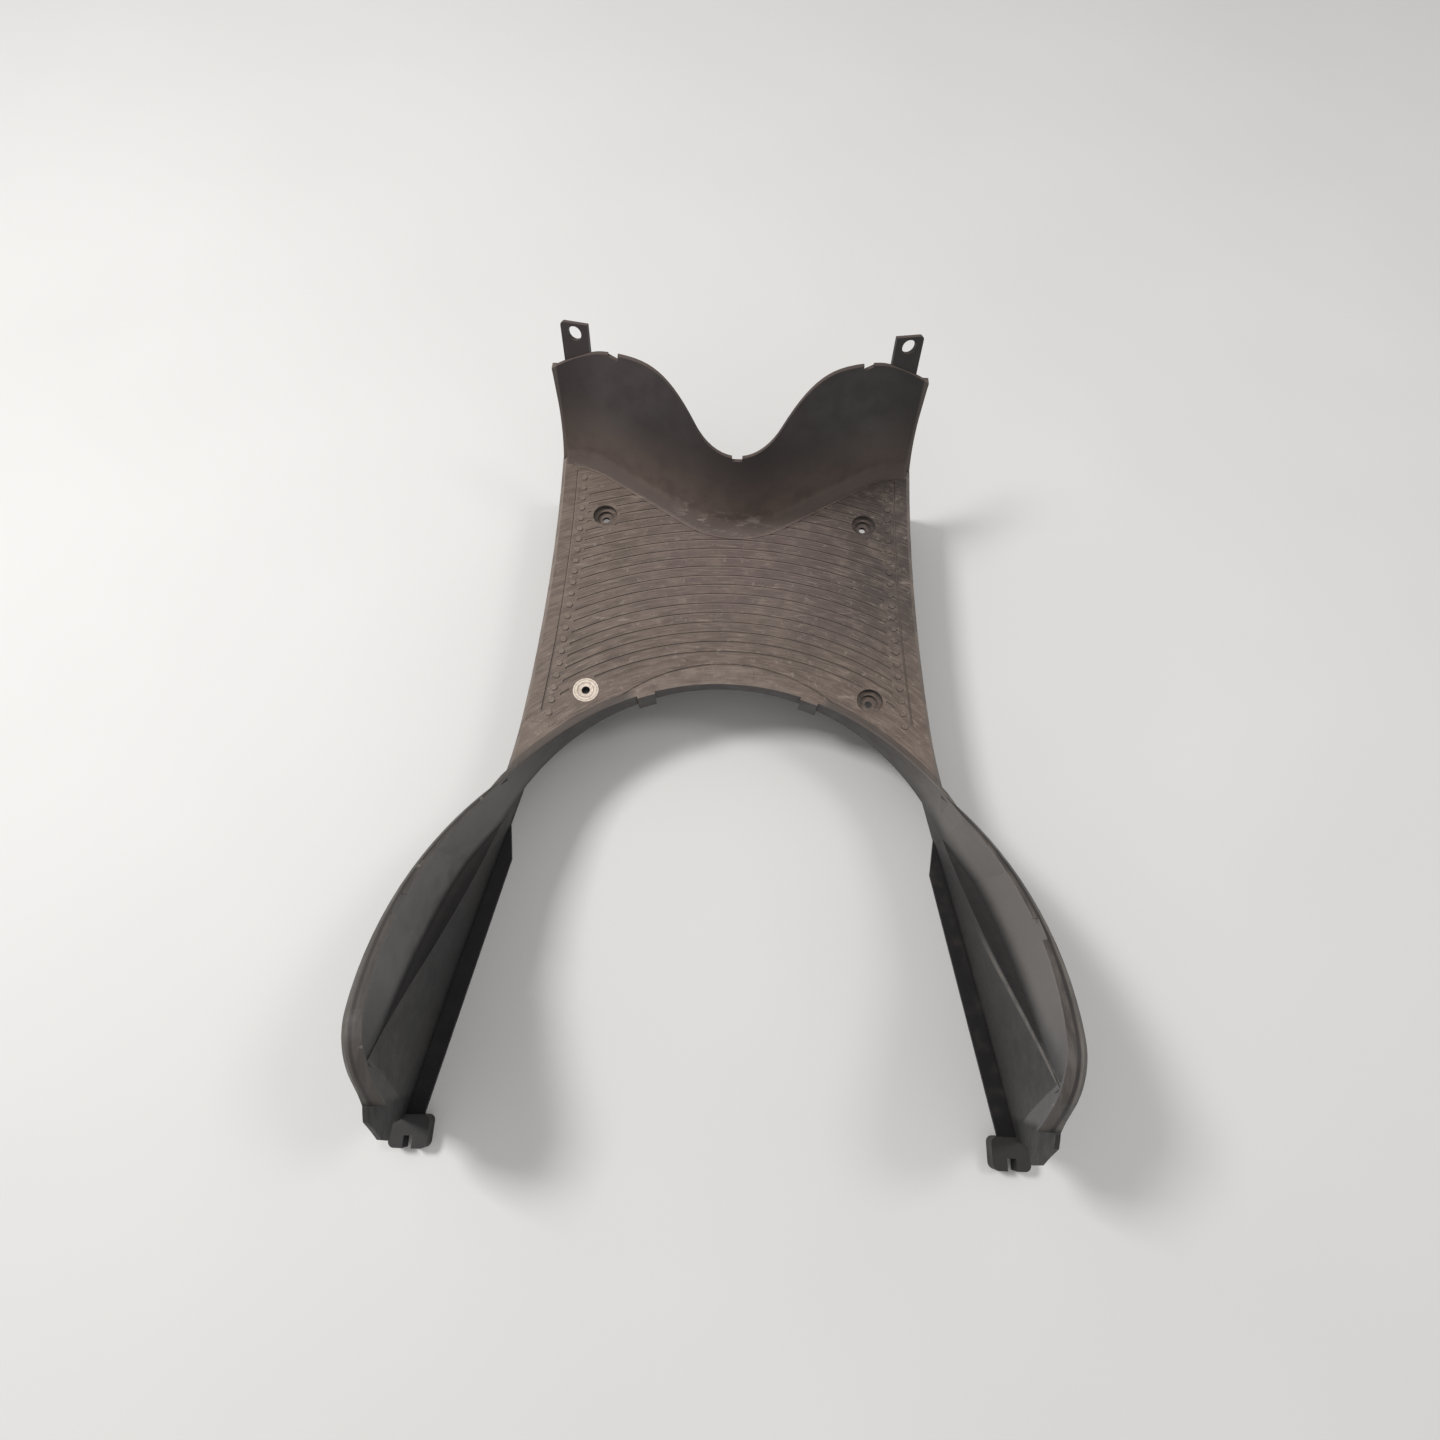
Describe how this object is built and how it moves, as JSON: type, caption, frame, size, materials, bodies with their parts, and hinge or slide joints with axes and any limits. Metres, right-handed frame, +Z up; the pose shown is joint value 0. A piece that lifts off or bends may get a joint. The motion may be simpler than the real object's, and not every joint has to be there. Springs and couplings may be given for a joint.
{
  "type": "scooter floorboard",
  "caption": "Moulded scooter floorboard: a grooved deck with stepped screw cups, a leaning front apron with lugs, and a rear arch between flared wings.",
  "frame": {"origin": "middle of the four deck screws, at the height of the seats under their heads", "axes": "+Y forward to the apron, +Z up out of the deck, +X to the right"},
  "size_m": [0.5036, 0.6638, 0.2103],
  "materials": {
    "moulding": "worn dark grey moulded plastic",
    "collar": "dull oxidised metal"
  },
  "bodies": {
    "root": {"floorboard": "moulding", "rear_left_collar": "collar"}
  },
  "joints": []
}
